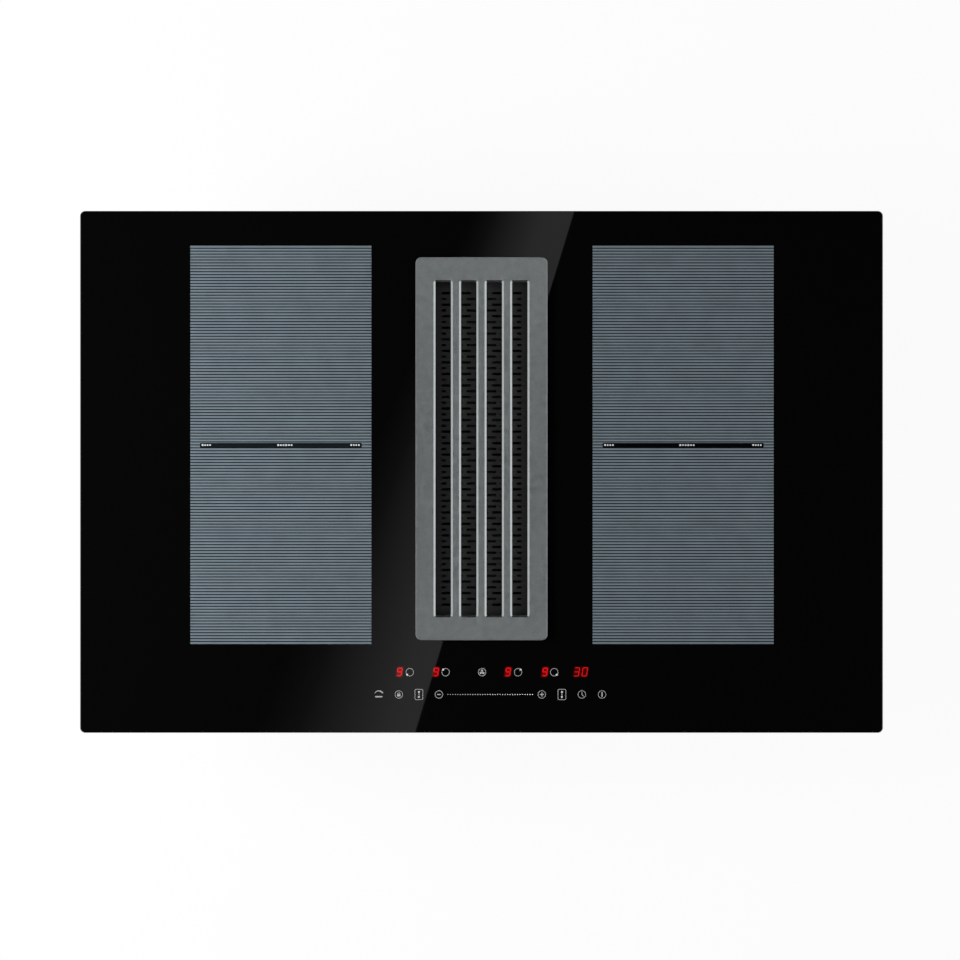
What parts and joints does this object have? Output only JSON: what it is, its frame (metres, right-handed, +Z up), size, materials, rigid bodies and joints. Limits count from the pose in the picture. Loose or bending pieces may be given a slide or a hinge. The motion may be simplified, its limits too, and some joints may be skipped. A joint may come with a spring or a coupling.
{
  "type": "induction hob with built-in downdraft range hood",
  "caption": "Flush black glass hob with a downdraft extractor: lift-off grille, grease filter, drip tray, scroll blower and flat duct outlet at the back.",
  "frame": {"origin": "below the centre of the glass, on the plane of the extractor box's flat bottom", "axes": "+X to the right, +Y to the back, away from the controls, +Z up out of the glass"},
  "size_m": [0.8, 0.52, 0.2101],
  "materials": {
    "glass_ceramic": "polished black glass ceramic, opaque",
    "grille_metal": "cast aluminium, satin grey",
    "collar_steel": "black enamelled steel",
    "filter_steel": "dark grey coated steel",
    "filter_mesh_metal": "black coated aluminium net",
    "wire": "dark coated wire",
    "casing_steel": "galvanised sheet",
    "seal_rubber": "soft black silicone or foam",
    "shaft_plastic": "moulded, matt black",
    "tray_plastic": "moulded, dark grey",
    "box_plastic": "moulded, matt black",
    "spigot_plastic": "moulded, dark grey",
    "impeller_plastic": "moulded, grey",
    "cup_plastic": "moulded, light grey",
    "motor_steel": "zinc plated can",
    "bright_steel": "bright steel",
    "zinc_steel": "zinc plated",
    "coil_wire": "stranded copper, lacquered",
    "mica": "pressed mica sheet",
    "ferrite": "sintered ferrite",
    "carrier_aluminium": "plain sheet",
    "sensor_ceramic": "plain ceramic",
    "spring_steel": "spring wire",
    "circuit_board": "green solder mask",
    "sink_aluminium": "extruded",
    "component_plastic": "sleeved and potted",
    "fan_plastic": "moulded, black",
    "bracket_plastic": "moulded, natural",
    "display_window": "dark red window",
    "terminal_plastic": "moulded, natural",
    "gland_plastic": "polyamide, black"
  },
  "bodies": {
    "housing": {"glass_top": "glass_ceramic", "inlet_collar": "collar_steel", "hob_casing": "casing_steel", "clamp_brackets": "casing_steel", "coil_bridges_left": "casing_steel", "coil_bridges_right": "casing_steel", "worktop_gasket": "seal_rubber", "glass_bond": "seal_rubber", "shaft_seal": "seal_rubber", "air_shaft": "shaft_plastic", "blower_tub": "box_plastic", "blower_lid": "box_plastic", "inlet_nozzle": "box_plastic", "volute_wall": "box_plastic", "outlet_spigot": "spigot_plastic", "blower_motor": "motor_steel", "flap_pin": "bright_steel", "housing_screws": "bright_steel", "coil_front_left": "coil_wire", "coil_rear_left": "coil_wire", "coil_front_right": "coil_wire", "coil_rear_right": "coil_wire", "mica_sheet_left": "mica", "mica_sheet_right": "mica", "ferrite_bars": "ferrite", "coil_carrier_left": "carrier_aluminium", "coil_carrier_right": "carrier_aluminium", "coil_sensors": "sensor_ceramic", "coil_springs": "spring_steel", "touch_springs": "spring_steel", "power_board_left": "circuit_board", "power_board_right": "circuit_board", "control_board": "circuit_board", "heat_sink_left": "sink_aluminium", "heat_sink_right": "sink_aluminium", "power_components_left": "component_plastic", "power_components_right": "component_plastic", "fan_frame_left": "fan_plastic", "fan_frame_right": "fan_plastic", "control_bracket": "bracket_plastic", "display_modules": "display_window", "terminal_block": "terminal_plastic", "cable_gland": "gland_plastic"},
    "drip_tray": {"drip_tray": "tray_plastic"},
    "grease_filter": {"filter_frame": "filter_steel", "filter_panel": "filter_steel", "filter_mesh": "filter_mesh_metal", "filter_pulls": "wire"},
    "grille": {"inlet_grille": "grille_metal", "grille_pads": "seal_rubber"},
    "impeller": {"impeller": "impeller_plastic", "motor_shaft": "bright_steel"},
    "cooling_fan_left": {"fan_rotor_left": "fan_plastic"},
    "cooling_fan_right": {"fan_rotor_right": "fan_plastic"},
    "backdraft_flap": {"backdraft_flap": "spigot_plastic"},
    "overflow_cup": {"overflow_cup": "cup_plastic"},
    "clamp_front_left": {"clamp_screw_front_left": "zinc_steel"},
    "clamp_rear_left": {"clamp_screw_rear_left": "zinc_steel"},
    "clamp_front_right": {"clamp_screw_front_right": "zinc_steel"},
    "clamp_rear_right": {"clamp_screw_rear_right": "zinc_steel"}
  },
  "joints": [
    {"name": "drip_tray_lift", "type": "slide", "parent": "housing", "child": "drip_tray", "axis": [0, 0, 1], "range_m": [0, 0.075]},
    {"name": "filter_lift", "type": "slide", "parent": "drip_tray", "child": "grease_filter", "axis": [0, 0, 1], "range_m": [0, 0.05]},
    {"name": "grille_lift", "type": "slide", "parent": "grease_filter", "child": "grille", "axis": [0, 0, 1], "range_m": [0, 0.03]},
    {"name": "impeller_spin", "type": "hinge", "parent": "housing", "child": "impeller", "pos_m": [-0.0365, 0.01, 0.05], "axis": [0, 0, 1], "continuous": true},
    {"name": "cooling_fan_left_spin", "type": "hinge", "parent": "housing", "child": "cooling_fan_left", "pos_m": [-0.228, -0.062, 0.147], "axis": [0, 0, 1], "continuous": true},
    {"name": "cooling_fan_right_spin", "type": "hinge", "parent": "housing", "child": "cooling_fan_right", "pos_m": [0.228, -0.062, 0.147], "axis": [0, 0, 1], "continuous": true},
    {"name": "backdraft_flap_hinge", "type": "hinge", "parent": "housing", "child": "backdraft_flap", "pos_m": [0, 0.2238, 0.09945], "axis": [1, 0, 0], "range_deg": [0, 80]},
    {"name": "overflow_cup_pull", "type": "slide", "parent": "housing", "child": "overflow_cup", "axis": [0, 0, -1], "range_m": [0, 0.045]},
    {"name": "clamp_front_left_travel", "type": "slide", "parent": "housing", "child": "clamp_front_left", "axis": [0, 0, 1], "range_m": [0, 0.029]},
    {"name": "clamp_rear_left_travel", "type": "slide", "parent": "housing", "child": "clamp_rear_left", "axis": [0, 0, 1], "range_m": [0, 0.029]},
    {"name": "clamp_front_right_travel", "type": "slide", "parent": "housing", "child": "clamp_front_right", "axis": [0, 0, 1], "range_m": [0, 0.029]},
    {"name": "clamp_rear_right_travel", "type": "slide", "parent": "housing", "child": "clamp_rear_right", "axis": [0, 0, 1], "range_m": [0, 0.029]}
  ]
}
